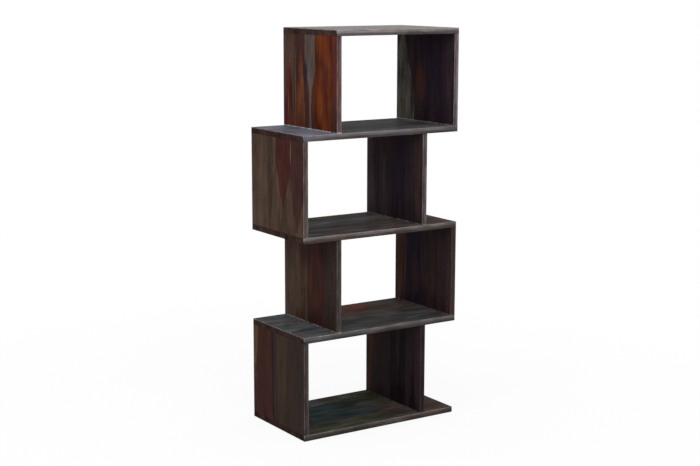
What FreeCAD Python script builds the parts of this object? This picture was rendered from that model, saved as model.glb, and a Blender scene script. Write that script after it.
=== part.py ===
# Stepped open bookcase: four open boxes stacked in a stagger, built from edge-glued solid wood boards.
# Each side board has a tongue at both ends that sits in a stopped groove in the board above or below.
# Millimetres, +Z up, front towards -Y, origin at the middle of the footprint on the floor.

import FreeCAD, Part
import math
import os
import Sketcher

# Driving sizes
# Each pair is the alias of a cell and its value in millimetres.

SIZES = [
    ("depth", 381.0),          # front to back, every board
    ("box_width", 552.0),      # outside width of one open box
    ("step_out", 144.0),       # how far the second and fourth boxes stand to the right
    ("clear_height", 352.0),   # floor to ceiling inside one box
    ("shelf_thick", 22.0),     # horizontal boards
    ("side_thick", 20.0),      # upright boards
    ("base_short", 7.0),       # the base board stops this much short of the shelves at the right
    ("arris", 1.5),            # radius of the eased edges
    ("tongue_thick", 8.0),
    ("tongue_length", 8.0),
    ("groove_slack", 0.1),     # room for glue at each cheek of a tongue
    ("groove_well", 0.5),      # room for glue past the end of a tongue
    ("groove_stop", 12.0),     # solid wood left between a groove's round end and the board's edge
    ("overrun", 2.0),          # how far a cutting outline runs past a glue line
]

# Widths of the staves of each board, front to back, as shares of the depth

STAVES = ["front", "mid_front", "mid_back", "back"]

STAVE_SHARES = {
    "base_board": (0.26, 0.25, 0.27, 0.22),
    "lower_shelf": (0.22, 0.28, 0.24, 0.26),
    "middle_shelf": (0.28, 0.22, 0.26, 0.24),
    "upper_shelf": (0.24, 0.30, 0.22, 0.24),
    "top_board": (0.27, 0.24, 0.28, 0.21),
    "tier_1_left_side": (0.20, 0.39, 0.27, 0.14),
    "tier_1_right_side": (0.27, 0.27, 0.26, 0.20),
    "tier_2_left_side": (0.23, 0.32, 0.23, 0.22),
    "tier_2_right_side": (0.25, 0.29, 0.26, 0.20),
    "tier_3_left_side": (0.25, 0.27, 0.24, 0.24),
    "tier_3_right_side": (0.30, 0.22, 0.20, 0.28),
    "tier_4_left_side": (0.40, 0.19, 0.20, 0.21),
    "tier_4_right_side": (0.22, 0.24, 0.22, 0.32),
}

# The horizontal boards from the floor up, each with the end arrises that stand free and are eased.
# An end arris that is flush with a side board stays sharp. The board at level n is the ceiling of
# tier n and the floor of tier n + 1.

HORIZONTALS = [
    ("base_board", ["left bottom", "right bottom", "right top"]),
    ("lower_shelf", ["left top", "right bottom"]),
    ("middle_shelf", ["left bottom", "right top"]),
    ("upper_shelf", ["left top", "right bottom"]),
    ("top_board", ["left top", "right top"]),
]
TOP_LEVEL = len(HORIZONTALS) - 1

CLOSE = 1e-6        # two coordinates nearer than this are the same
VOLUME_SHARE = 0.01  # how far a cut volume may be from its outline times its depth

doc = FreeCAD.newDocument("stepped_bookcase")
sheet = doc.addObject("Spreadsheet::Sheet", "Sizes")
for row, (alias, number) in enumerate(SIZES, start=1):
    sheet.set(f"A{row}", alias)
    sheet.set(f"B{row}", str(number))
    sheet.setAlias(f"B{row}", alias)
doc.recompute()

pieces = []


def size(alias):
    """The expression that reads one driving size."""
    return f"<<Sizes>>.{alias}"


# Places that several pieces share, as expressions

TOTAL_WIDTH = f"({size('box_width')} + {size('step_out')})"
PITCH = f"({size('clear_height')} + {size('shelf_thick')})"
GROOVE_RADIUS = f"({size('tongue_thick')} / 2 + {size('groove_slack')})"
GROOVE_END = f"({size('groove_stop')} + {GROOVE_RADIUS})"
GROOVE_DEPTH = f"({size('tongue_length')} + {size('groove_well')})"
LEFT_END = f"(-{TOTAL_WIDTH} / 2)"
FRONT = f"(-{size('depth')} / 2)"
SIDE_SPACING = f"({size('box_width')} - {size('side_thick')})"


def tier_left(tier):
    """X of the left outer face of a tier's box: odd tiers at the left, even tiers stepped to the right."""
    return f"({LEFT_END} + {(tier + 1) % 2} * {size('step_out')})"


def level_bottom(level):
    """Z of the underside of a horizontal board."""
    return f"({level} * {PITCH})"


def stave_spans(board):
    """Name, front share, width share and free edge of each stave of a board."""
    spans = []
    front_share = 0.0
    for stave, width_share in zip(STAVES, STAVE_SHARES[board]):
        free = stave if stave in ("front", "back") else None
        spans.append((f"{board}_{stave}_stave", front_share, width_share, free))
        front_share += width_share
    return spans


def place(body, across, back, up):
    """Tie a body's position to the sheet."""
    body.setExpression("Placement.Base.x", across)
    body.setExpression("Placement.Base.y", back)
    body.setExpression("Placement.Base.z", up)


def origin_feature(body, role):
    """One of the origin planes or axes of a body."""
    return next(item for item in body.Origin.OriginFeatures if item.Role == role)


def new_body(name):
    """An empty body that is exported under this name."""
    body = doc.addObject("PartDesign::Body", name)
    body.Label = name
    pieces.append(body)
    return body


def new_sketch(body, name, plane, lift=None):
    """A sketch on an origin plane, lifted along the plane's normal where asked."""
    sketch = body.newObject("Sketcher::SketchObject", name)
    sketch.AttachmentSupport = (origin_feature(body, plane), [""])
    sketch.MapMode = "FlatFace"
    if lift is not None:
        sketch.setExpression("AttachmentOffset.Base.z", lift)
    return sketch


def dimension(sketch, constraint, expression):
    """Add one driven dimension to a sketch and tie it to the sheet."""
    index = sketch.addConstraint(constraint)
    sketch.setExpression(f"Constraints[{index}]", expression)


def value(expression):
    """The number that an expression has now."""
    return sheet.evalExpression(expression)


def draw_rectangle(sketch, left, near, right, far):
    """A rectangle between two corners, both measured from the sketch origin."""
    x_low, y_low, x_high, y_high = (value(edge) for edge in (left, near, right, far))
    corners = [(x_low, y_low), (x_high, y_low), (x_high, y_high), (x_low, y_high)]
    points = [FreeCAD.Vector(x, y, 0) for x, y in corners]
    for start, end in zip(points, points[1:] + points[:1]):
        sketch.addGeometry(Part.LineSegment(start, end))
    for line in range(4):
        sketch.addConstraint(Sketcher.Constraint("Coincident", line, 2, (line + 1) % 4, 1))
    for line in (0, 2):
        sketch.addConstraint(Sketcher.Constraint("Horizontal", line))
    for line in (1, 3):
        sketch.addConstraint(Sketcher.Constraint("Vertical", line))
    dimension(sketch, Sketcher.Constraint("DistanceX", -1, 1, 0, 1, x_low), left)
    dimension(sketch, Sketcher.Constraint("DistanceY", -1, 1, 0, 1, y_low), near)
    dimension(sketch, Sketcher.Constraint("DistanceX", -1, 1, 1, 2, x_high), right)
    dimension(sketch, Sketcher.Constraint("DistanceY", -1, 1, 1, 2, y_high), far)


def groove_end(sketch, centre, radius, half):
    """The round end of a stopped groove: the half circle in front of its centre, or behind it."""
    circle = Part.Circle(centre, FreeCAD.Vector(0, 0, 1), radius)
    start = math.pi if half == "near" else 0
    return sketch.addGeometry(Part.ArcOfCircle(circle, start, start + math.pi))


def draw_groove(sketch, middle, near, far, stopped):
    """A groove along Y around a middle line. A stopped end is round, with its centre at near or far."""
    radius = value(GROOVE_RADIUS)
    x_middle, y_near, y_far = (value(edge) for edge in (middle, near, far))
    left_near = FreeCAD.Vector(x_middle - radius, y_near, 0)
    left_far = FreeCAD.Vector(x_middle - radius, y_far, 0)
    right_near = FreeCAD.Vector(x_middle + radius, y_near, 0)
    right_far = FreeCAD.Vector(x_middle + radius, y_far, 0)
    left = sketch.addGeometry(Part.LineSegment(left_near, left_far))
    right = sketch.addGeometry(Part.LineSegment(right_far, right_near))
    sketch.addConstraint(Sketcher.Constraint("Vertical", left))
    sketch.addConstraint(Sketcher.Constraint("Vertical", right))
    sketch.addConstraint(Sketcher.Constraint("Horizontal", left, 2, right, 1))
    sketch.addConstraint(Sketcher.Constraint("Horizontal", left, 1, right, 2))
    if stopped == "far":
        end = groove_end(sketch, FreeCAD.Vector(x_middle, y_far, 0), radius, "far")
        sketch.addConstraint(Sketcher.Constraint("Tangent", left, 2, end, 2))
        sketch.addConstraint(Sketcher.Constraint("Coincident", right, 1, end, 1))
    else:
        end = sketch.addGeometry(Part.LineSegment(left_far, right_far))
        sketch.addConstraint(Sketcher.Constraint("Coincident", left, 2, end, 1))
        sketch.addConstraint(Sketcher.Constraint("Coincident", right, 1, end, 2))
    if stopped == "near":
        end = groove_end(sketch, FreeCAD.Vector(x_middle, y_near, 0), radius, "near")
        sketch.addConstraint(Sketcher.Constraint("Tangent", left, 1, end, 1))
        sketch.addConstraint(Sketcher.Constraint("Coincident", right, 2, end, 2))
    else:
        end = sketch.addGeometry(Part.LineSegment(right_near, left_near))
        sketch.addConstraint(Sketcher.Constraint("Coincident", right, 2, end, 1))
        sketch.addConstraint(Sketcher.Constraint("Coincident", left, 1, end, 2))
    left_cheek = f"{middle} - {GROOVE_RADIUS}"
    right_cheek = f"{middle} + {GROOVE_RADIUS}"
    dimension(sketch, Sketcher.Constraint("DistanceX", -1, 1, left, 1, left_near.x), left_cheek)
    dimension(sketch, Sketcher.Constraint("DistanceX", -1, 1, right, 2, right_near.x), right_cheek)
    dimension(sketch, Sketcher.Constraint("DistanceY", -1, 1, left, 2, y_far), far)
    if y_near < 0:
        dimension(sketch, Sketcher.Constraint("DistanceY", left, 1, -1, 1, -y_near), f"-({near})")
    else:
        dimension(sketch, Sketcher.Constraint("DistanceY", -1, 1, left, 1, y_near), near)


def arris_names(shape, arrises):
    """Names of the edges where two named faces of a plain board meet."""
    box = shape.BoundBox
    tests = {
        "left": lambda edge: abs(edge.XMax - box.XMin) < CLOSE,
        "right": lambda edge: abs(edge.XMin - box.XMax) < CLOSE,
        "front": lambda edge: abs(edge.YMax - box.YMin) < CLOSE,
        "back": lambda edge: abs(edge.YMin - box.YMax) < CLOSE,
        "bottom": lambda edge: abs(edge.ZMax - box.ZMin) < CLOSE,
        "top": lambda edge: abs(edge.ZMin - box.ZMax) < CLOSE,
    }
    names = []
    for number, edge in enumerate(shape.Edges, start=1):
        for arris in arrises:
            if all(tests[face](edge.BoundBox) for face in arris.split()):
                names.append(f"Edge{number}")
    return names


def cut_grooves(body, face, lift, middles, width, stopped):
    """Grooves across one stave in its top or bottom face. The front and back staves hold the stopped ends."""
    sketch = new_sketch(body, f"{body.Label}_{face}_lines", "XY_Plane", lift)
    near = GROOVE_END if stopped == "near" else f"-{size('overrun')}"
    far = f"{width} - {GROOVE_END}" if stopped == "far" else f"{width} + {size('overrun')}"
    for middle in middles:
        draw_groove(sketch, middle, near, far, stopped)
    doc.recompute()
    before = body.Tip.Shape.Volume
    pocket = body.newObject("PartDesign::Pocket", f"{body.Label}_{face}_grooves")
    pocket.Profile = sketch
    pocket.Reversed = face == "bottom"
    pocket.setExpression("Length", GROOVE_DEPTH)
    body.Tip = pocket
    doc.recompute()
    radius = value(GROOVE_RADIUS)
    area = 2 * radius * value(width)
    if stopped:
        area += math.pi * radius ** 2 / 2 - 2 * radius * value(GROOVE_END)
    expected = len(middles) * area * value(GROOVE_DEPTH)
    cut = before - pocket.Shape.Volume
    if abs(cut - expected) > VOLUME_SHARE * expected:
        raise RuntimeError(f"{body.Label}: grooves took {cut:.1f}, not {expected:.1f} cubic mm")


def add_tongue(body, face, lift, near, far):
    """The part of a side board's tongue that stands on one stave's top or bottom end."""
    sketch = new_sketch(body, f"{body.Label}_{face}_tongue_outline", "XY_Plane", lift)
    left = f"({size('side_thick')} - {size('tongue_thick')}) / 2"
    right = f"({size('side_thick')} + {size('tongue_thick')}) / 2"
    draw_rectangle(sketch, left, near, right, far)
    pad = body.newObject("PartDesign::Pad", f"{body.Label}_{face}_tongue")
    pad.Profile = sketch
    pad.Reversed = face == "bottom"
    pad.setExpression("Length", size("tongue_length"))
    body.Tip = pad
    doc.recompute()


def make_strip(name, across, back, up, arrises):
    """A planed strip of wood with its free arrises eased."""
    body = new_body(name)
    outline = new_sketch(body, f"{name}_outline", "XY_Plane")
    draw_rectangle(outline, "0 mm", "0 mm", across, back)
    pad = body.newObject("PartDesign::Pad", f"{name}_strip")
    pad.Profile = outline
    pad.setExpression("Length", up)
    body.Tip = pad
    doc.recompute()
    edges = arris_names(pad.Shape, arrises)
    if edges:
        fillet = body.newObject("PartDesign::Fillet", f"{name}_easing")
        fillet.Base = (pad, edges)
        fillet.setExpression("Radius", size("arris"))
        body.Tip = fillet
        doc.recompute()
    return body


def groove_middles(tier, board_left):
    """Middle lines of the two grooves that a tier's sides need, from the board's left end."""
    first = f"({tier_left(tier)} - {board_left} + {size('side_thick')} / 2)"
    return [first, f"({first} + {SIDE_SPACING})"]


def make_horizontal(board, level, end_arrises):
    """A horizontal board: its staves run from end to end along X."""
    board_left = LEFT_END
    length = TOTAL_WIDTH
    if level == 0:
        length = f"({TOTAL_WIDTH} - {size('base_short')})"
    if level == TOP_LEVEL:
        board_left = tier_left(level)
        length = size("box_width")
    for name, front_share, width_share, free in stave_spans(board):
        arrises = list(end_arrises)
        if free:
            arrises += [f"{free} {face}" for face in ("top", "bottom", "left", "right")]
        width = f"{width_share} * {size('depth')}"
        body = make_strip(name, length, width, size("shelf_thick"), arrises)
        stopped = {"front": "near", "back": "far"}.get(free)
        if level > 0:
            middles = groove_middles(level, board_left)
            cut_grooves(body, "bottom", None, middles, width, stopped)
        if level < TOP_LEVEL:
            middles = groove_middles(level + 1, board_left)
            cut_grooves(body, "top", size("shelf_thick"), middles, width, stopped)
        place(body, board_left, f"{FRONT} + {front_share} * {size('depth')}", level_bottom(level))


def make_side(tier, side):
    """An upright board: its staves stand between two horizontal boards, with a tongue in each."""
    left = tier_left(tier)
    if side == "right":
        left = f"({left} + {SIDE_SPACING})"
    bottom = f"{level_bottom(tier - 1)} + {size('shelf_thick')}"
    for name, front_share, width_share, free in stave_spans(f"tier_{tier}_{side}_side"):
        arrises = [f"{free} {face}" for face in ("left", "right")] if free else []
        width = f"{width_share} * {size('depth')}"
        body = make_strip(name, size("side_thick"), width, size("clear_height"), arrises)
        near = GROOVE_END if free == "front" else "0 mm"
        far = f"{width} - {GROOVE_END}" if free == "back" else width
        add_tongue(body, "bottom", None, near, far)
        add_tongue(body, "top", size("clear_height"), near, far)
        place(body, left, f"{FRONT} + {front_share} * {size('depth')}", bottom)


def check_objects():
    """Stop if any object failed or any piece is empty or broken."""
    for item in doc.Objects:
        if "Invalid" in item.State or "Error" in item.State:
            raise RuntimeError(f"{item.Label} failed: {item.State}")
    for body in pieces:
        if body.Shape.isNull() or not body.Shape.isValid():
            raise RuntimeError(f"{body.Label} has no valid shape")


for level, (board, end_arrises) in enumerate(HORIZONTALS):
    make_horizontal(board, level, end_arrises)
for tier in range(1, TOP_LEVEL + 1):
    for side in ("left", "right"):
        make_side(tier, side)
doc.recompute()
check_objects()

os.makedirs("parts", exist_ok=True)
for body in pieces:
    body.Shape.exportStep(f"parts/{body.Label}.step")
print(f"{len(pieces)} nodes, {sum(len(body.Shape.Solids) for body in pieces)} solids")
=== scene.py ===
"""Looks of the stepped bookcase: stained solid wood, one procedural material for each glued stave."""

import math
import random

import bpy
from mathutils import Matrix, Vector


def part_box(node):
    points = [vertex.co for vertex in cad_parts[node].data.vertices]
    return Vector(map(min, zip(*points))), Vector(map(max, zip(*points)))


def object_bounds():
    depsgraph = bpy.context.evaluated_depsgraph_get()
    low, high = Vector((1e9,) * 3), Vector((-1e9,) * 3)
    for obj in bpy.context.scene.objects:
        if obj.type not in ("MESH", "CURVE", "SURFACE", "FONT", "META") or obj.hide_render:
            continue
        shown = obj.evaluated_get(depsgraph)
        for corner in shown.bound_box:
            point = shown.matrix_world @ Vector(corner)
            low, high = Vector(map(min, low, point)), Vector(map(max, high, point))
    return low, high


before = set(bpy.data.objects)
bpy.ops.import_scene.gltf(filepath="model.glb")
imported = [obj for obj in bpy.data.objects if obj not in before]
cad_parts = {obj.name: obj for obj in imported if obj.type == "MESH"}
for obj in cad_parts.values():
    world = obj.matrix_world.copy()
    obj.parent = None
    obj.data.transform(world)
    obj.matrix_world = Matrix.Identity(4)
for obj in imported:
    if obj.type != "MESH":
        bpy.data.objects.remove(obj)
cad_low, cad_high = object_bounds()

# Camera, in metres and degrees

CAMERA_PLACE = (-2.9626, -4.4794, 1.6922)
CAMERA_YAW = -33.283
CAMERA_PITCH = -10.168
CAMERA_ROLL = 0.12
CAMERA_LENS_MM = 72.30
CAMERA_CLIP_END = 1000.0

# Wood colours under the stain, as sRGB from 0 to 255. On the level boards the greys, blue-greys and teal
# (slate, flint, lilac, steel, pine, moss, taupe) are partly the wood's own colour and partly a painted
# reflection of the pale surroundings.

COLOURS = {
    "umber": (72, 56, 47),
    "clay": (76, 60, 50),
    "olive": (57, 46, 37),
    "bark": (52, 40, 34),
    "smoke": (49, 40, 37),
    "soot": (34, 27, 29),
    "navy": (34, 30, 44),
    "wine": (58, 34, 30),
    "maroon": (53, 32, 29),
    "blood": (60, 31, 27),
    "garnet": (73, 34, 28),
    "rust": (86, 48, 32),
    "ember": (83, 38, 21),
    "amber": (116, 56, 20),
    "ochre": (86, 64, 46),
    "plum": (57, 36, 33),
    "ash": (80, 69, 64),
    "fawn": (112, 88, 76),
    "dusk": (50, 38, 43),
    "damson": (44, 31, 43),
    "mauve": (64, 53, 57),
    "cocoa": (55, 41, 40),
    "russet": (70, 48, 39),
    "pewter": (82, 79, 72),
    "steel": (70, 71, 74),
    "flint": (83, 80, 82),
    "slate": (73, 71, 71),
    "moss": (63, 63, 53),
    "pine": (50, 58, 59),
    "taupe": (76, 66, 62),
    "brick": (112, 56, 49),
    "hazel": (68, 50, 43),
    "lilac": (91, 91, 102),
}

# Figure of each stave. outer and inner are colour names. inner is the heartwood, a wedge whose middle line
# runs along the stave, side away from its middle. The wedge is reach wide to each side at open_at, and
# narrows to a point at close_at, or to the half width tail. All in metres from the stave's middle.


def figure(outer, inner, reach, side, open_at, close_at, tail=-0.05, mottle=1.4):
    """One stave's colours, the shape of its heartwood and how strongly clouds and streaks show."""
    slope = reach / (close_at - open_at)
    shape = {"Reach": reach, "Side": side, "Slope": slope, "Open at": open_at, "Most rise": reach - tail}
    return {"Outer": outer, "Inner": inner, "shape": shape, "Mottle": mottle}


FIGURES = {
    "tier_4_left_side_back_stave": figure("hazel", "garnet", 0.022, 0.002, -0.02, 0.14, mottle=2.4),
    "tier_4_left_side_mid_back_stave": figure("wine", "rust", 0.034, -0.006, -0.08, 0.19, mottle=2.4),
    "tier_4_left_side_mid_front_stave": figure("plum", "ash", 0.038, -0.002, 0.05, -0.08, 0.013),
    "tier_4_left_side_front_stave": figure("garnet", "ember", 0.078, 0.022, -0.20, 0.80, mottle=3.0),
    "tier_3_left_side_back_stave": figure("clay", "umber", 0.022, 0.01, 0.1, -0.4),
    "tier_3_left_side_mid_back_stave": figure("umber", "olive", 0.020, 0.0, 0.1, -0.4),
    "tier_3_left_side_mid_front_stave": figure("umber", "blood", 0.052, 0.0, 0.07, -0.09, mottle=2.0),
    "tier_3_left_side_front_stave": figure("umber", "plum", 0.050, -0.006, 0.0, -0.18),
    "tier_2_left_side_back_stave": figure("clay", "umber", 0.022, 0.01, 0.2, -0.3),
    "tier_2_left_side_mid_back_stave": figure("umber", "hazel", 0.024, -0.010, 0.10, -0.30),
    "tier_2_left_side_mid_front_stave": figure("maroon", "wine", 0.050, 0.010, 0.02, 0.30),
    "tier_2_left_side_front_stave": figure("smoke", "bark", 0.030, 0.0, 0.1, -0.3),
    "tier_1_left_side_back_stave": figure("wine", "ochre", 0.024, 0.008, 0.15, -0.10, mottle=1.0),
    "tier_1_left_side_mid_back_stave": figure("soot", "wine", 0.055, 0.011, -0.1, 1.6, mottle=1.0),
    "tier_1_left_side_mid_front_stave": figure("bark", "olive", 0.050, 0.014, 0.16, -0.7, mottle=0.8),
    "tier_1_left_side_front_stave": figure("smoke", "bark", 0.024, 0.0, 0.2, -0.2, mottle=0.8),
    "tier_4_right_side_back_stave": figure("dusk", "pewter", 0.064, 0.026, 0.02, 0.20, mottle=3.4),
    "tier_4_right_side_mid_back_stave": figure("damson", "dusk", 0.030, 0.01, -0.1, 0.3),
    "tier_4_right_side_mid_front_stave": figure("damson", "dusk", 0.020, 0.01, -0.2, 0.1),
    "tier_4_right_side_front_stave": figure("damson", "dusk", 0.030, -0.01, 0.3, -0.6),
    "tier_3_right_side_back_stave": figure("mauve", "dusk", 0.030, -0.02, 0.1, -0.3),
    "tier_3_right_side_mid_back_stave": figure("dusk", "mauve", 0.020, 0.024, -0.1, 0.2),
    "tier_3_right_side_mid_front_stave": figure("damson", "dusk", 0.020, 0.0, -0.2, 0.2),
    "tier_3_right_side_front_stave": figure("dusk", "cocoa", 0.040, -0.02, 0.3, -0.5),
    "tier_2_right_side_back_stave": figure("cocoa", "russet", 0.034, 0.008, 0.1, -0.4),
    "tier_2_right_side_mid_back_stave": figure("damson", "dusk", 0.030, 0.0, 0.2, -0.3),
    "tier_2_right_side_mid_front_stave": figure("dusk", "cocoa", 0.040, -0.01, 0.0, -0.5),
    "tier_2_right_side_front_stave": figure("cocoa", "dusk", 0.020, 0.0, 0.1, -0.4),
    "tier_1_right_side_back_stave": figure("cocoa", "russet", 0.030, 0.020, 0.1, -0.5),
    "tier_1_right_side_mid_back_stave": figure("dusk", "smoke", 0.020, 0.02, 0.1, -0.3),
    "tier_1_right_side_mid_front_stave": figure("soot", "dusk", 0.030, 0.0, 0.3, -0.2),
    "tier_1_right_side_front_stave": figure("dusk", "soot", 0.030, 0.0, -0.3, 0.2),
    # Level boards: their grey, blue-grey and teal colours are partly a painted reflection of the pale
    # surroundings.
    "upper_shelf_back_stave": figure("slate", "lilac", 0.070, 0.0, -0.22, -0.18, mottle=2.0),
    "upper_shelf_mid_back_stave": figure("flint", "lilac", 0.070, 0.0, -0.22, -0.18, mottle=2.0),
    "upper_shelf_mid_front_stave": figure("slate", "lilac", 0.070, 0.0, -0.22, -0.18, mottle=2.0),
    "upper_shelf_front_stave": figure("flint", "lilac", 0.070, 0.0, -0.22, -0.18, mottle=2.0),
    "middle_shelf_back_stave": figure("taupe", "moss", 0.040, 0.0, -0.2, 0.3, mottle=2.6),
    "middle_shelf_mid_back_stave": figure("slate", "flint", 0.036, 0.0, 0.1, -0.4, mottle=2.6),
    "middle_shelf_mid_front_stave": figure("slate", "taupe", 0.036, 0.0, 0.1, -0.4, mottle=2.6),
    "middle_shelf_front_stave": figure("taupe", "slate", 0.040, 0.0, -0.3, 0.35, mottle=2.6),
    "lower_shelf_back_stave": figure("taupe", "steel", 0.070, 0.0, -0.22, -0.18, mottle=2.6),
    "lower_shelf_mid_back_stave": figure("taupe", "slate", 0.070, 0.0, -0.22, -0.18, mottle=2.6),
    "lower_shelf_mid_front_stave": figure("slate", "steel", 0.070, 0.0, -0.22, -0.18, mottle=2.6),
    "lower_shelf_front_stave": figure("slate", "steel", 0.070, 0.0, -0.22, -0.18, mottle=2.6),
    "base_board_back_stave": figure("moss", "slate", 0.040, 0.0, -0.05, 0.15, mottle=2.6),
    "base_board_mid_back_stave": figure("moss", "pine", 0.050, 0.0, 0.0, 0.12, mottle=2.6),
    "base_board_mid_front_stave": figure("taupe", "pine", 0.060, 0.0, 0.0, 0.15, mottle=2.6),
    "base_board_front_stave": figure("taupe", "moss", 0.050, 0.0, 0.0, 0.20, mottle=2.6),
    "top_board_back_stave": figure("slate", "taupe", 0.010, 0.0, 0.1, 0.9, mottle=2.6),
    "top_board_mid_back_stave": figure("slate", "flint", 0.020, 0.01, -0.1, 0.7, mottle=2.6),
    "top_board_mid_front_stave": figure("taupe", "slate", 0.030, 0.0, -0.1, 0.7, mottle=2.6),
    "top_board_front_stave": figure("slate", "taupe", 0.016, -0.01, 0.1, -0.7, mottle=2.6),
}

# Small marks in the wood: place across and along the stave, half width and half length in metres, the
# colour and how strongly it covers. Long thin ones are streaks, short ones knots. The first two are the
# warmer tint near the right end of the middle shelf and of the base board.

MIDDLE_SHELF_END = (0.000, 0.275, 0.0600, 0.060, "russet", 0.55)
BASE_BOARD_END = (0.000, 0.270, 0.0600, 0.070, "hazel", 0.70)
MARKS = {
    "tier_4_left_side_back_stave": [
        (0.002, -0.060, 0.0080, 0.100, "rust", 0.50),
        (0.004, -0.090, 0.0030, 0.050, "fawn", 0.40),
        (-0.034, 0.000, 0.0050, 0.170, "umber", 0.70),
        (0.036, 0.000, 0.0040, 0.190, "soot", 0.50),
    ],
    "tier_4_left_side_mid_back_stave": [
        (0.030, -0.01, 0.0032, 0.190, "fawn", 0.45),
        (0.000, -0.07, 0.0060, 0.060, "amber", 0.45),
        (0.004, 0.13, 0.0300, 0.070, "plum", 0.70),
        (0.000, -0.15, 0.0300, 0.030, "garnet", 0.60),
    ],
    "tier_4_left_side_mid_front_stave": [
        (0.026, 0.035, 0.0110, 0.055, "navy", 0.85),
        (-0.028, -0.060, 0.0140, 0.110, "ember", 0.80),
        (0.024, -0.100, 0.0090, 0.080, "wine", 0.60),
        (-0.002, -0.060, 0.0040, 0.070, "fawn", 0.55),
    ],
    "tier_4_left_side_front_stave": [
        (0.046, -0.090, 0.0220, 0.070, "amber", 0.65),
        (0.030, 0.150, 0.0400, 0.050, "amber", 0.18),
        (0.010, 0.010, 0.0300, 0.070, "garnet", 0.55),
        (0.030, -0.105, 0.0030, 0.022, "fawn", 0.70),
        (-0.056, -0.040, 0.0200, 0.200, "garnet", 0.65),
        (-0.050, -0.120, 0.0300, 0.080, "plum", 0.75),
    ],
    "tier_3_left_side_back_stave": [
        (0.034, -0.042, 0.0026, 0.009, "soot", 0.90),
        (0.000, 0.080, 0.0140, 0.050, "plum", 0.45),
    ],
    "tier_3_left_side_mid_back_stave": [
        (-0.019, 0.078, 0.0040, 0.016, "soot", 0.90),
        (-0.010, 0.100, 0.0030, 0.060, "ash", 0.50),
    ],
    "tier_3_left_side_front_stave": [
        (0.042, 0.130, 0.0046, 0.050, "fawn", 0.60),
    ],
    "tier_2_left_side_mid_back_stave": [
        (-0.020, 0.120, 0.0400, 0.090, "maroon", 0.75),
        (-0.025, -0.050, 0.0050, 0.014, "soot", 0.60),
        (0.010, -0.160, 0.0400, 0.040, "maroon", 0.50),
    ],
    "tier_2_left_side_mid_front_stave": [
        (0.000, -0.160, 0.0700, 0.050, "soot", 0.50),
        (0.040, -0.010, 0.0160, 0.060, "rust", 0.35),
    ],
    "tier_4_right_side_back_stave": [
        (0.036, -0.100, 0.0040, 0.060, "fawn", 0.60),
        (0.010, 0.060, 0.0100, 0.060, "ash", 0.70),
        (0.022, 0.010, 0.0080, 0.050, "soot", 0.45),
        (-0.006, -0.030, 0.0090, 0.060, "russet", 0.50),
        (-0.046, -0.060, 0.0140, 0.120, "dusk", 0.85),
    ],
    "tier_4_right_side_mid_back_stave": [
        (0.004, -0.020, 0.0360, 0.085, "rust", 0.60),
    ],
    "tier_4_right_side_mid_front_stave": [
        (0.000, 0.040, 0.0300, 0.080, "navy", 0.70),
    ],
    "tier_3_right_side_mid_back_stave": [
        (0.026, -0.02, 0.0070, 0.110, "pewter", 0.50),
        (-0.012, -0.07, 0.0060, 0.080, "mauve", 0.70),
    ],
    "tier_2_right_side_back_stave": [
        (-0.032, 0.01, 0.0040, 0.150, "pewter", 0.45),
    ],
    "tier_2_right_side_mid_back_stave": [
        (0.010, 0.080, 0.0300, 0.090, "navy", 0.80),
        (-0.020, -0.070, 0.0200, 0.070, "russet", 0.45),
    ],
    # The grey, blue-grey and teal marks on the level boards are partly a painted reflection as well.
    "upper_shelf_mid_back_stave": [
        (0.000, 0.260, 0.0400, 0.060, "pine", 0.55),
    ],
    "upper_shelf_mid_front_stave": [
        (0.000, 0.270, 0.0500, 0.060, "pine", 0.60),
        (0.000, 0.060, 0.0400, 0.080, "steel", 0.50),
    ],
    "middle_shelf_back_stave": [
        MIDDLE_SHELF_END,
        (0.000, 0.000, 0.0400, 0.060, "moss", 0.60),
    ],
    "middle_shelf_mid_back_stave": [
        MIDDLE_SHELF_END,
        (0.010, 0.090, 0.0400, 0.080, "lilac", 0.60),
    ],
    "middle_shelf_mid_front_stave": [
        MIDDLE_SHELF_END,
        (0.000, -0.060, 0.0400, 0.120, "soot", 0.40),
    ],
    "middle_shelf_front_stave": [
        MIDDLE_SHELF_END,
    ],
    "lower_shelf_back_stave": [
        (-0.006, 0.085, 0.0360, 0.070, "brick", 0.95),
    ],
    "lower_shelf_mid_back_stave": [
        (-0.010, 0.010, 0.0340, 0.080, "brick", 0.35),
        (0.020, 0.170, 0.0260, 0.070, "moss", 0.70),
    ],
    "lower_shelf_mid_front_stave": [
        (-0.020, -0.080, 0.0400, 0.060, "pine", 0.80),
        (0.010, 0.130, 0.0260, 0.070, "flint", 0.70),
    ],
    "lower_shelf_front_stave": [
        (0.010, 0.040, 0.0260, 0.090, "soot", 0.35),
    ],
    "base_board_back_stave": [
        (0.010, -0.020, 0.0300, 0.060, "olive", 0.80),
        BASE_BOARD_END,
    ],
    "base_board_mid_back_stave": [
        BASE_BOARD_END,
        (-0.020, 0.080, 0.0260, 0.060, "flint", 0.70),
    ],
    "base_board_mid_front_stave": [
        BASE_BOARD_END,
        (0.000, 0.080, 0.0200, 0.060, "slate", 0.50),
    ],
    "base_board_front_stave": [
        BASE_BOARD_END,
        (0.000, 0.060, 0.0300, 0.080, "soot", 0.40),
    ],
}

# Wood. A noise has its waves a metre along, across and through the stave, and its detail. BANDS and RINGS
# have their waves a metre away from the pith. A fade is the pair of values at which a mask is 0 and 1.
# Lengths are in metres.

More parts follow.
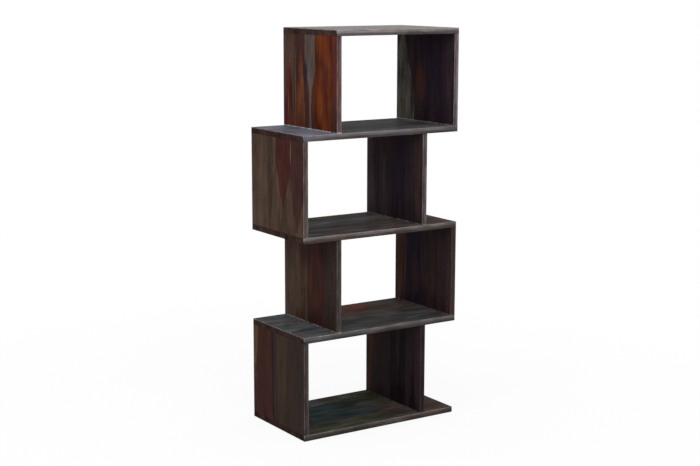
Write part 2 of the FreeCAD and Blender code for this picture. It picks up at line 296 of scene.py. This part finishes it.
NOISE_MIDDLE = 0.5
SEED_REACH = 40.0
WANDER = ((4.0, 8.0, 8.0), 2.0)
WANDER_SIZE = 0.026
WAVER = ((9.0, 36.0, 36.0), 3.0)
WAVER_SIZE = 0.020
BLUNT_TIP = 0.006
PITH_LEAN = 0.6
RAGGED = ((14.0, 130.0, 130.0), 3.0)
RAGGED_SIZE = 0.016
HEART_FADE = (-0.003, 0.005)
BORDER_SHIFT = 0.001
BORDER_FADE = (0.005, 0.0)
BORDER_DARK = 0.22
CLOUDS = ((8.0, 24.0, 24.0), 4.0)
TINTS = ((9.0, 26.0, 26.0), 2.0)
TINT_SHIFT = (7.0, 3.0, 9.0)
TINT_FADE = (0.38, 0.66)
COOL = (0.86, 1.02, 1.06, 1.0)
WARM = (1.10, 0.97, 0.90, 1.0)
UPRIGHT_TINT = 0.40
LEVEL_TINT = 0.75
BANDS = (110.0, 2.0)
BAND_FADE = (0.46, 0.78)
BAND_DARK = 0.27
RINGS = (640.0, 3.0)
RING_SWING = 0.7
RING_LEAST = 0.65
STREAKS = ((8.0, 150.0, 150.0), 4.0)
STREAKS_BY_MOTTLE = 0.30
STREAKS_LEAST = 0.15
PORES = ((60.0, 1500.0, 1500.0), 2.0)
PORE_FADE = (0.60, 0.72)
PORE_DARK = 0.45
GLUE_FADE = (0.0008, 0.0002)
GLUE_DARK = 0.40
END_FADE = (0.0016, 0.0003)
END_DARK = 0.4
END_GRAIN = (52, 39, 36)
MARK_BEND = ((14.0, 20.0, 1.0), 2.0)
MARK_BEND_SIZE = 0.012
MARK_FRAY = ((30.0, 420.0, 1.0), 3.0)
MARK_FRAY_SIZE = 1.1
MARK_FADE = (1.25, 0.35)

# Wear and painted light on the edges. The first table gives, for each board named by the start of its
# staves' names, how much its front and back edges are lightened: partly stain rubbed off, partly a painted
# sheen, mostly greater on the higher boards as the light falls from above. Free arrises get a painted
# highlight with some wear, or a painted shade, and the feet of the side boards a painted highlight.

FRONT_WEAR_AND_LIGHT = {
    "base": 0.14,
    "lower": 0.24,
    "middle": 0.30,
    "upper": 0.28,
    "top": 0.57,
    "tier_1_left": 0.18,
    "tier_2_left": 0.19,
    "tier_3_left": 0.34,
    "tier_4_left": 0.32,
    "tier_1_right": 0.03,
    "tier_2_right": 0.11,
    "tier_3_right": 0.40,
    "tier_4_right": 0.56,
}
WORN_AND_LIT_EDGE = (152, 142, 141)
PALE_LINE = (186, 180, 182)
WEAR_AND_LIGHT_MIDDLE = 0.85
UPRIGHT_CONTRAST = 0.5
LEVEL_CONTRAST = 1.1
UPRIGHT_LIGHTER_HALF = (0.006, 0.014)
LEVEL_LIGHTER_HALF = (0.015, 0.007)
UPRIGHT_ARRIS_LIGHT_LEAST = 0.12
UPRIGHT_ARRIS_LIGHT_BY_FRONT = 0.7
LEVEL_ARRIS_HIGHLIGHT = 0.80
ARRIS_RADIUS = 0.0045
ARRIS_SAMPLES = 4
ARRIS_TURN = (0.985, 0.90)
ARRIS_FADE = (0.0055, 0.0040)
JOINT_FADE = (0.001, 0.005)
STAVE_EDGE_FADE = (0.0005, 0.0040)
EDGE_FADE = (0.0020, 0.0004)
FOOT_FADE = (0.0046, 0.0028)
LEFT_FOOT_STRENGTH = 0.9
RIGHT_FOOT_STRENGTH = 0.55
PATCHES = ((17.0, 90.0, 90.0), 4.0)
PATCH_FADE = (0.28, 0.70)
PATCH_LEAST = 0.4
ARRIS_SHADE_LOSS = 2.5
ARRIS_SHADE_DARK = 0.45

# Lacquer. Its gloss is far below a real one's: the level faces are seen at about ten degrees, where the
# white surroundings would veil their colour. The level boards' colours carry a painted reflection in its
# place.

UPRIGHT_GLOSS = 0.010
LEVEL_GLOSS = 0.0015
TOP_GLOSS = 0.004
REFRACTION = 1.5
BASE_ROUGHNESS = 0.36
TOP_ROUGHNESS = 0.16
ROUGH_BY_CLOUDS = 0.20
ROUGH_BY_WEAR = 0.15
ROUGH_BY_PORES = 0.15
STREAK_HEIGHT = 0.25
RING_HEIGHT = 0.10
PORE_DEPTH = 0.45
GLUE_DEPTH = 0.5
BUMP_STRENGTH = 0.35
BUMP_DISTANCE = 0.0004

# Places where boards meet

TOUCH = 0.001
SIDES = [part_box(node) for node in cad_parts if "side" in node]
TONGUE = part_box("base_board_front_stave")[1].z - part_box("tier_1_left_side_front_stave")[0].z


def linear(colour):
    """An sRGB colour as the linear colour that a shader socket takes."""
    channels = [channel / 255 for channel in colour]
    decoded = [c / 12.92 if c <= 0.04045 else ((c + 0.055) / 1.055) ** 2.4 for c in channels]
    return (*decoded, 1.0)


class Net:
    """Short calls that add and link nodes in one tree."""

    def __init__(self, tree):
        self.tree = tree

    def node(self, kind, settings=None, **inputs):
        """Add a node, set its options and its inputs. An input is a number, a colour or a socket."""
        node = self.tree.nodes.new(kind)
        for option, setting in (settings or {}).items():
            setattr(node, option, setting)
        for name, given in inputs.items():
            self.feed(node.inputs[name.replace("_", " ")], given)
        return node

    def feed(self, socket, given):
        """Link a socket to another, or set its value."""
        if isinstance(given, bpy.types.NodeSocket):
            self.tree.links.new(given, socket)
        else:
            socket.default_value = given

    def math(self, operation, first, second=0.0, third=None):
        """A math node's result."""
        node = self.tree.nodes.new("ShaderNodeMath")
        node.operation = operation
        self.feed(node.inputs[0], first)
        self.feed(node.inputs[1], second)
        if third is not None:
            self.feed(node.inputs[2], third)
        return node.outputs[0]

    def vector(self, operation, first, second, result=0):
        """A vector math node's result."""
        node = self.tree.nodes.new("ShaderNodeVectorMath")
        node.operation = operation
        self.feed(node.inputs[0], first)
        self.feed(node.inputs[1], second)
        return node.outputs[result]

    def parts(self, vector):
        """The three numbers of a vector."""
        return tuple(self.node("ShaderNodeSeparateXYZ", Vector=vector).outputs)

    def grey(self, value):
        """A number as a grey colour."""
        return self.node("ShaderNodeCombineXYZ", X=value, Y=value, Z=value).outputs[0]

    def ramp(self, value, low, high):
        """0 at low, 1 at high, smooth between and level beyond."""
        node = self.node("ShaderNodeMapRange", {"interpolation_type": "SMOOTHSTEP"}, Value=value)
        self.feed(node.inputs["From Min"], low)
        self.feed(node.inputs["From Max"], high)
        return node.outputs["Result"]

    def mix(self, share, first, second, blend="MIX"):
        """A mix of two colours."""
        node = self.tree.nodes.new("ShaderNodeMix")
        node.data_type = "RGBA"
        node.blend_type = blend
        self.feed(node.inputs[0], share)
        self.feed(node.inputs[6], first)
        self.feed(node.inputs[7], second)
        return node.outputs[2]

    def noise(self, place, waves, detail):
        """A noise, about 0.5 on average, with so many waves a metre along, across and through."""
        scaled = self.vector("MULTIPLY", place, waves)
        return self.node("ShaderNodeTexNoise", Vector=scaled, Scale=1.0, Detail=detail).outputs["Fac"]

    def lines(self, place, waves, detail):
        """A noise along one number, which makes bands of uneven width."""
        settings = {"noise_dimensions": "1D"}
        return self.node("ShaderNodeTexNoise", settings, W=place, Scale=waves, Detail=detail).outputs["Fac"]

    def swing(self, noise, size):
        """A noise turned to swing about zero by up to about half of size."""
        return self.math("MULTIPLY", self.math("SUBTRACT", noise, NOISE_MIDDLE), size)

    def vary(self, noise, contrast):
        """A noise turned to vary about one."""
        return self.math("MULTIPLY_ADD", self.math("SUBTRACT", noise, NOISE_MIDDLE), contrast, 1.0)

    def darken(self, shade, mask, share):
        """A shade made darker by a share where the mask is 1."""
        return self.math("MULTIPLY", shade, self.math("SUBTRACT", 1.0, self.math("MULTIPLY", mask, share)))


GROUP_INPUTS = [
    ("Place", "NodeSocketVector"),
    ("Seed", "NodeSocketVector"),
    ("Outer", "NodeSocketColor"),
    ("Inner", "NodeSocketColor"),
    ("Reach", "NodeSocketFloat"),
    ("Side", "NodeSocketFloat"),
    ("Slope", "NodeSocketFloat"),
    ("Open at", "NodeSocketFloat"),
    ("Most rise", "NodeSocketFloat"),
    ("Half width", "NodeSocketFloat"),
    ("Behind rim", "NodeSocketFloat"),
    ("From end", "NodeSocketFloat"),
    ("Mottle", "NodeSocketFloat"),
    ("Tint", "NodeSocketFloat"),
    ("Base roughness", "NodeSocketFloat"),
    ("Edge rub and light", "NodeSocketFloat"),
    ("Free end", "NodeSocketFloat"),
    ("Free arris", "NodeSocketFloat"),
    ("Arris highlight and rub", "NodeSocketFloat"),
    ("Foot", "NodeSocketFloat"),
]
GROUP_OUTPUTS = [
    ("Colour", "NodeSocketColor"),
    ("Grain", "NodeSocketFloat"),
    ("Rubbed and lit", "NodeSocketFloat"),
    ("Pale", "NodeSocketFloat"),
    ("Roughness", "NodeSocketFloat"),
    ("Height", "NodeSocketFloat"),
]


def heartwood(net, given, place):
    """The stave's two colours, the ragged border between them, and the radius that the rings follow."""
    along, across, below = net.parts(given["Place"])
    wander = net.swing(net.noise(place, *WANDER), WANDER_SIZE)
    waver = net.swing(net.noise(place, *WAVER), WAVER_SIZE)
    from_side = net.math("ADD", net.math("SUBTRACT", across, given["Side"]), wander)
    blunt = net.math("MULTIPLY_ADD", from_side, from_side, BLUNT_TIP * BLUNT_TIP)
    rise = net.math("MULTIPLY", net.math("SUBTRACT", along, given["Open at"]), given["Slope"])
    rise = net.math("MINIMUM", rise, given["Most rise"])
    radius = net.math("ADD", net.math("ADD", net.math("SQRT", blunt), rise), waver)
    radius = net.math("MULTIPLY_ADD", below, PITH_LEAN, radius)
    ragged = net.swing(net.noise(place, *RAGGED), RAGGED_SIZE)
    inside = net.math("SUBTRACT", net.math("ADD", given["Reach"], ragged), radius)
    colour = net.mix(net.ramp(inside, *HEART_FADE), given["Outer"], given["Inner"])
    border = net.ramp(net.math("ABSOLUTE", net.math("ADD", inside, BORDER_SHIFT)), *BORDER_FADE)
    return colour, border, radius


def tinted(net, given, place, colour):
    """The colour with broad clouds of warmer and cooler tint."""
    tint = net.ramp(net.noise(net.vector("ADD", place, TINT_SHIFT), *TINTS), *TINT_FADE)
    cool = net.mix(1.0, colour, COOL, "MULTIPLY")
    warm = net.mix(1.0, colour, WARM, "MULTIPLY")
    return net.mix(given["Tint"], colour, net.mix(tint, warm, cool))


def fine_grain(net, given, place, radius):
    """How light the fine grain makes the wood, then its rings, its streaks and its open pores."""
    rings = net.lines(radius, *RINGS)
    grain = net.math("MULTIPLY_ADD", rings, RING_SWING, RING_LEAST)
    streaks = net.noise(place, *STREAKS)
    contrast = net.math("MULTIPLY_ADD", given["Mottle"], STREAKS_BY_MOTTLE, STREAKS_LEAST)
    grain = net.math("MULTIPLY", grain, net.vary(streaks, contrast))
    pores = net.ramp(net.noise(place, *PORES), *PORE_FADE)
    grain = net.darken(grain, pores, PORE_DARK)
    return grain, rings, streaks, pores


def free_corner(net, given, to_edge):
    """1 on the arrises that stand free, 0 elsewhere and where another piece goes on flush."""
    softened = net.node("ShaderNodeBevel", {"samples": ARRIS_SAMPLES}, Radius=ARRIS_RADIUS).outputs[0]
    normal = net.node("ShaderNodeNewGeometry").outputs["Normal"]
    turn = net.vector("DOT_PRODUCT", softened, normal, "Value")
    near_rim = net.ramp(given["Behind rim"], *ARRIS_FADE)
    off_joint = net.math("MAXIMUM", given["Free end"], net.ramp(given["From end"], *JOINT_FADE))
    near_end = net.math("MULTIPLY", net.ramp(given["From end"], *ARRIS_FADE), given["Free arris"])
    near_end = net.math("MULTIPLY", near_end, net.ramp(to_edge, *STAVE_EDGE_FADE))
    free = net.math("MAXIMUM", net.math("MULTIPLY", near_rim, off_joint), near_end)
    return net.math("MULTIPLY", net.ramp(turn, *ARRIS_TURN), free)


def edge_wear_and_painted_light(net, given, place, to_edge):
    """Painted shade at free arrises, wear with painted sheen on narrow edges, and where it is pale.

    The painted shade lies on the free arrises with little painted highlight, such as the lower ones of the
    level boards. Pale are the other free arrises, a painted highlight with some wear, and, in patches, the
    feet of the side boards, a painted highlight.
    """
    corner = free_corner(net, given, to_edge)
    patchy = net.ramp(net.noise(place, *PATCHES), *PATCH_FADE)
    uneven = net.math("MULTIPLY_ADD", patchy, 1.0 - PATCH_LEAST, PATCH_LEAST)
    arris = net.math("MULTIPLY", net.math("MULTIPLY", corner, uneven), given["Arris highlight and rub"])
    shade_where_unlit = net.math("MAXIMUM", net.math("MULTIPLY_ADD", given["Arris highlight and rub"], -ARRIS_SHADE_LOSS, 1.0), 0.0)
    painted_arris_shade = net.math("MULTIPLY", corner, shade_where_unlit)
    narrow = net.math("MULTIPLY", net.ramp(given["Behind rim"], *EDGE_FADE), uneven)
    worn_and_lit = net.math("MULTIPLY", narrow, given["Edge rub and light"])
    foot = net.math("MULTIPLY", net.ramp(given["From end"], *FOOT_FADE), given["Foot"])
    pale = net.math("MAXIMUM", arris, net.math("MULTIPLY", foot, patchy))
    return painted_arris_shade, worn_and_lit, pale


def wood_group():
    """Solid wood around a leaning pith. Place is along the grain, across the stave and below its face.

    Behind rim is the distance from the bookcase's front or back, and From end that from the stave's end.
    """
    tree = bpy.data.node_groups.new("stained_wood", "ShaderNodeTree")
    for name, kind in GROUP_INPUTS:
        tree.interface.new_socket(name, in_out="INPUT", socket_type=kind)
    for name, kind in GROUP_OUTPUTS:
        tree.interface.new_socket(name, in_out="OUTPUT", socket_type=kind)
    net = Net(tree)
    given = tree.nodes.new("NodeGroupInput").outputs
    place = net.vector("ADD", given["Place"], given["Seed"])
    across = net.parts(given["Place"])[1]
    to_edge = net.math("SUBTRACT", given["Half width"], net.math("ABSOLUTE", across))

    colour, border, radius = heartwood(net, given, place)
    colour = tinted(net, given, place, colour)
    grain, rings, streaks, pores = fine_grain(net, given, place, radius)
    painted_arris_shade, worn_and_lit, pale = edge_wear_and_painted_light(net, given, place, to_edge)
    clouds = net.noise(place, *CLOUDS)
    bands = net.ramp(net.lines(radius, *BANDS), *BAND_FADE)
    glue = net.ramp(to_edge, *GLUE_FADE)
    end = net.ramp(given["From end"], *END_FADE)
    end_dark = net.math("MULTIPLY_ADD", given["Free end"], -END_DARK, END_DARK)

    shade = net.vary(clouds, given["Mottle"])
    shade = net.darken(shade, border, BORDER_DARK)
    shade = net.darken(shade, bands, BAND_DARK)
    shade = net.math("MULTIPLY", shade, grain)
    shade = net.darken(shade, glue, GLUE_DARK)
    # The side boards darken within the last millimetres of each end: a dark joint line, partly painted
    # contact shadow.
    shade = net.darken(shade, end, end_dark)
    # Painted shade on the free arrises with little painted highlight, such as the lower ones of the level
    # boards.
    shade = net.darken(shade, painted_arris_shade, ARRIS_SHADE_DARK)
    colour = net.mix(net.math("MULTIPLY", end, given["Free end"]), colour, linear(END_GRAIN))
    colour = net.mix(1.0, colour, net.grey(shade), "MULTIPLY")

    rough = net.math("MULTIPLY_ADD", clouds, ROUGH_BY_CLOUDS, given["Base roughness"])
    rough = net.math("ADD", rough, net.math("MULTIPLY", worn_and_lit, ROUGH_BY_WEAR))
    rough = net.math("ADD", rough, net.math("MULTIPLY", pores, ROUGH_BY_PORES))
    height = net.math("MULTIPLY_ADD", streaks, STREAK_HEIGHT, net.math("MULTIPLY", rings, RING_HEIGHT))
    height = net.math("SUBTRACT", height, net.math("MULTIPLY", pores, PORE_DEPTH))
    height = net.math("SUBTRACT", height, net.math("MULTIPLY", glue, GLUE_DEPTH))

    results = (colour, grain, worn_and_lit, pale, rough, height)
    leave = tree.nodes.new("NodeGroupOutput")
    for (name, _), result in zip(GROUP_OUTPUTS, results):
        net.feed(leave.inputs[name], result)
    return tree


def add_mark(net, colour, grain, along, across, mark):
    """A colour with one streak or knot over it, a ragged ellipse that keeps the grain."""
    place_across, place_along, half_width, half_length, name, cover = mark
    point = net.node("ShaderNodeCombineXYZ", X=along, Y=across).outputs[0]
    bend = net.swing(net.noise(point, *MARK_BEND), MARK_BEND_SIZE)
    fray = net.swing(net.noise(point, *MARK_FRAY), MARK_FRAY_SIZE)
    sideways = net.math("ADD", net.math("SUBTRACT", across, place_across), bend)
    sideways = net.math("DIVIDE", sideways, half_width)
    lengthways = net.math("DIVIDE", net.math("SUBTRACT", along, place_along), half_length)
    square = net.math("MULTIPLY", lengthways, lengthways)
    distance = net.math("SQRT", net.math("MULTIPLY_ADD", sideways, sideways, square))
    mask = net.ramp(net.math("ADD", distance, fray), *MARK_FADE)
    stroke = net.mix(1.0, linear(COLOURS[name]), net.grey(grain), "MULTIPLY")
    return net.mix(net.math("MULTIPLY", mask, cover), colour, stroke)


def free_arris(net, low, high, along, below):
    """1 where the end arris of a level board is free, 0 where a side board meets it flush."""
    flags = []
    for end in (low.x, high.x):
        for face in (high.z, low.z):
            flush = [side for side in SIDES if min(abs(side[0].x - end), abs(side[1].x - end)) < TOUCH]
            met = any(side[0].z < face < side[1].z for side in flush)
            flags.append(0.0 if met else 1.0)
    left_top, left_bottom, right_top, right_bottom = flags
    at_right = net.math("GREATER_THAN", along, 0.0)
    at_bottom = net.math("GREATER_THAN", below, (high.z - low.z) / 2)
    left = net.math("MULTIPLY_ADD", at_bottom, left_bottom - left_top, left_top)
    right = net.math("MULTIPLY_ADD", at_bottom, right_bottom - right_top, right_top)
    change = net.math("MULTIPLY", at_right, net.math("SUBTRACT", right, left))
    return net.math("ADD", left, change)


def standing_foot(net, low, high, along, below):
    """How pale the foot of a side board is, a painted highlight, on each face past which the board below it
    goes on. It is stronger on higher boards and on the left side boards.
    """
    strength = (LEFT_FOOT_STRENGTH if low.x < 0 else RIGHT_FOOT_STRENGTH) * high.z / cad_high.z
    left = strength if low.x - cad_low.x > TOUCH else 0.0
    right = strength if cad_high.x - high.x > TOUCH else 0.0
    at_right = net.math("GREATER_THAN", below, (high.x - low.x) / 2)
    share = net.math("MULTIPLY_ADD", at_right, right - left, left)
    return net.math("MULTIPLY", net.math("LESS_THAN", along, 0.0), share)


def rub_and_light_upright(net, wood, front_rub_and_light, low, high, along, below):
    """The wear and painted light of a side board's stave: its arrises and foot take a painted highlight.
    Its narrow edges are lighter towards its right face.
    """
    lighter_half = net.ramp(below, *UPRIGHT_LIGHTER_HALF)
    least = WEAR_AND_LIGHT_MIDDLE - UPRIGHT_CONTRAST / 2
    spread = net.math("MULTIPLY_ADD", lighter_half, UPRIGHT_CONTRAST, least)
    net.feed(wood.inputs["Edge rub and light"], net.math("MULTIPLY", spread, front_rub_and_light))
    wood.inputs["Free end"].default_value = 0.0
    wood.inputs["Free arris"].default_value = 0.0
    wood.inputs["Arris highlight and rub"].default_value = UPRIGHT_ARRIS_LIGHT_LEAST + UPRIGHT_ARRIS_LIGHT_BY_FRONT * front_rub_and_light
    net.feed(wood.inputs["Foot"], standing_foot(net, low, high, along, below))


def rub_and_light_level(net, wood, front_rub_and_light, low, high, along, below):
    """The wear and painted light of a level board's stave. Its narrow edges are lighter towards its top,
    partly a painted sheen, and its upper arrises take a painted highlight, its lower ones a painted shade.
    """
    lighter_half = net.ramp(below, *LEVEL_LIGHTER_HALF)
    least = WEAR_AND_LIGHT_MIDDLE - LEVEL_CONTRAST / 2
    spread = net.math("MULTIPLY_ADD", lighter_half, LEVEL_CONTRAST, least)
    net.feed(wood.inputs["Edge rub and light"], net.math("MULTIPLY", spread, front_rub_and_light))
    wood.inputs["Free end"].default_value = 1.0
    net.feed(wood.inputs["Free arris"], free_arris(net, low, high, along, below))
    # The upper arrises take a painted highlight, the lower ones a painted shade.
    net.feed(wood.inputs["Arris highlight and rub"], net.math("MULTIPLY", lighter_half, LEVEL_ARRIS_HIGHLIGHT))
    wood.inputs["Foot"].default_value = 0.0


def stave_material(node, group):
    """The finish of one stave: its own cut of the wood under a thin lacquer."""
    low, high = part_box(node)
    middle = (low + high) / 2
    upright = "side" in node
    on_top = node.startswith("top")
    draw = random.Random(node)
    seed = [draw.uniform(-SEED_REACH, SEED_REACH) for _ in range(3)]
    look = FIGURES[node]
    material = bpy.data.materials.new(f"wood_{node}")
    material.use_nodes = True
    tree = material.node_tree
    net = Net(tree)

    # Along the grain and across it from the middle, and below the left or top face
    x, y, z = net.parts(net.node("ShaderNodeTexCoord").outputs["Object"])
    across = net.math("SUBTRACT", y, middle.y)
    if upright:
        along = net.math("SUBTRACT", z, middle.z)
        below = net.math("SUBTRACT", x, low.x)
        half_length = (high.z - low.z) / 2 - TONGUE
    else:
        along = net.math("SUBTRACT", x, middle.x)
        below = net.math("SUBTRACT", high.z, z)
        half_length = (high.x - low.x) / 2
    place = net.node("ShaderNodeCombineXYZ", X=along, Y=across, Z=below).outputs[0]

    wood = net.node("ShaderNodeGroup", {"node_tree": group}, Place=place)
    net.feed(wood.inputs["Behind rim"], net.math("SUBTRACT", cad_high.y, net.math("ABSOLUTE", y)))
    net.feed(wood.inputs["From end"], net.math("SUBTRACT", half_length, net.math("ABSOLUTE", along)))
    wood.inputs["Seed"].default_value = seed
    for part in ("Outer", "Inner"):
        wood.inputs[part].default_value = linear(COLOURS[look[part]])
    for name, size in look["shape"].items():
        wood.inputs[name].default_value = size
    wood.inputs["Half width"].default_value = (high.y - low.y) / 2
    wood.inputs["Mottle"].default_value = look["Mottle"]
    wood.inputs["Tint"].default_value = UPRIGHT_TINT if upright else LEVEL_TINT
    wood.inputs["Base roughness"].default_value = TOP_ROUGHNESS if on_top else BASE_ROUGHNESS
    front_rub_and_light = next(share for board, share in FRONT_WEAR_AND_LIGHT.items() if node.startswith(board))
    rub_and_light_stave = rub_and_light_upright if upright else rub_and_light_level
    rub_and_light_stave(net, wood, front_rub_and_light, low, high, along, below)

    colour = wood.outputs["Colour"]
    for mark in MARKS.get(node, []):
        colour = add_mark(net, colour, wood.outputs["Grain"], along, across, mark)
    # Narrow front and back edges made lighter: partly wear, partly a painted sheen.
    colour = net.mix(wood.outputs["Rubbed and lit"], colour, linear(WORN_AND_LIT_EDGE))
    # Pale: painted highlight on the free arrises, with some wear, and on the feet of the side boards.
    colour = net.mix(wood.outputs["Pale"], colour, linear(PALE_LINE))
    bump = net.node("ShaderNodeBump", Height=wood.outputs["Height"])
    bump.inputs["Strength"].default_value = BUMP_STRENGTH
    bump.inputs["Distance"].default_value = BUMP_DISTANCE
    shader = tree.nodes["Principled BSDF"]
    net.feed(shader.inputs["Base Color"], colour)
    net.feed(shader.inputs["Roughness"], wood.outputs["Roughness"])
    net.feed(shader.inputs["Normal"], bump.outputs["Normal"])
    shader.inputs["IOR"].default_value = REFRACTION
    gloss = TOP_GLOSS if on_top else UPRIGHT_GLOSS if upright else LEVEL_GLOSS
    shader.inputs["Specular IOR Level"].default_value = gloss
    return material


def dress_staves():
    """Give each stave its material."""
    group = wood_group()
    for node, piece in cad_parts.items():
        material = stave_material(node, group)
        piece.data.materials.clear()
        piece.data.materials.append(material)
        for face in piece.data.polygons:
            face.material_index = 0


# Stage, in metres and watts

FLOOR_REACH = 250.0
FLOOR_DROP = 0.0005
FLOOR_GREY = (0.80, 0.80, 0.80, 1.0)
SHADOW_SHARE = 0.10
SHADOW_FADE = (0.5, 2.5)
WHITE = (1.0, 1.0, 1.0, 1.0)
WORLD_LIGHT = 0.45
LAMP_TARGET = (0.0, 0.0, 1.1)
LAMPS = [
    # name, place, size, power
    ("left", (-2.8, -0.5, 2.9), 1.8, 42.0),
    ("front", (-0.8, -2.8, 3.2), 2.2, 72.0),
    ("top", (-0.1, 0.3, 3.9), 2.4, 36.0),
    ("right", (2.9, 0.9, 1.3), 1.8, 27.0),
]


def seen_directly(net):
    """1 for rays from the camera, or by a reflection or through glass, that look at the background."""
    path = net.node("ShaderNodeLightPath").outputs
    seen = net.math("MAXIMUM", path["Is Camera Ray"], path["Is Glossy Ray"])
    return net.math("MAXIMUM", seen, path["Is Transmission Ray"])


def build_floor():
    """A white floor that still takes a faint shadow near the object."""
    half = FLOOR_REACH
    corners = [(-half, -half), (half, -half), (half, half), (-half, half)]
    mesh = bpy.data.meshes.new("floor")
    mesh.from_pydata([(x, y, -FLOOR_DROP) for x, y in corners], [], [(0, 1, 2, 3)])
    floor = bpy.data.objects.new("floor", mesh)
    bpy.context.scene.collection.objects.link(floor)
    material = bpy.data.materials.new("floor_white")
    material.use_nodes = True
    tree = material.node_tree
    tree.nodes.clear()
    net = Net(tree)
    matt = net.node("ShaderNodeBsdfDiffuse", Color=FLOOR_GREY)
    glow = net.node("ShaderNodeEmission", Color=WHITE, Strength=1.0)
    place = net.node("ShaderNodeTexCoord").outputs["Object"]
    far = net.node("ShaderNodeVectorMath", {"operation": "LENGTH"})
    net.feed(far.inputs[0], place)
    away = net.ramp(far.outputs["Value"], *SHADOW_FADE)
    white_share = net.math("MULTIPLY_ADD", away, SHADOW_SHARE, 1.0 - SHADOW_SHARE)
    blend = net.node("ShaderNodeMixShader")
    net.feed(blend.inputs[0], net.math("MULTIPLY", seen_directly(net), white_share))
    net.feed(blend.inputs[1], matt.outputs[0])
    net.feed(blend.inputs[2], glow.outputs[0])
    out = net.node("ShaderNodeOutputMaterial")
    net.feed(out.inputs["Surface"], blend.outputs[0])
    mesh.materials.append(material)


def build_world():
    """An even pale room that the camera and reflections see as white."""
    world = bpy.data.worlds.new("studio")
    world.use_nodes = True
    bpy.context.scene.world = world
    net = Net(world.node_tree)
    background = world.node_tree.nodes["Background"]
    background.inputs["Color"].default_value = WHITE
    strength = net.math("MULTIPLY_ADD", seen_directly(net), 1.0 - WORLD_LIGHT, WORLD_LIGHT)
    net.feed(background.inputs["Strength"], strength)


def build_lamps():
    """Large soft lamps that face the middle of the bookcase."""
    for name, place, size, power in LAMPS:
        light = bpy.data.lights.new(name, "AREA")
        light.size = size
        light.energy = power
        lamp = bpy.data.objects.new(name, light)
        lamp.location = place
        aim = Vector(LAMP_TARGET) - Vector(place)
        lamp.rotation_euler = aim.to_track_quat("-Z", "Y").to_euler()
        bpy.context.scene.collection.objects.link(lamp)


def build_camera():
    """The photograph's view."""
    camera = bpy.data.cameras.new("camera")
    camera.lens = CAMERA_LENS_MM
    camera.clip_end = CAMERA_CLIP_END
    holder = bpy.data.objects.new("camera", camera)
    turn = Matrix.Rotation(math.radians(CAMERA_YAW), 4, "Z")
    tilt = Matrix.Rotation(math.radians(90 + CAMERA_PITCH), 4, "X")
    roll = Matrix.Rotation(math.radians(CAMERA_ROLL), 4, "Z")
    holder.matrix_world = Matrix.Translation(CAMERA_PLACE) @ turn @ tilt @ roll
    bpy.context.scene.collection.objects.link(holder)
    bpy.context.scene.camera = holder


dress_staves()
build_floor()
build_world()
build_lamps()
build_camera()
bpy.context.scene.view_settings.view_transform = "Standard"
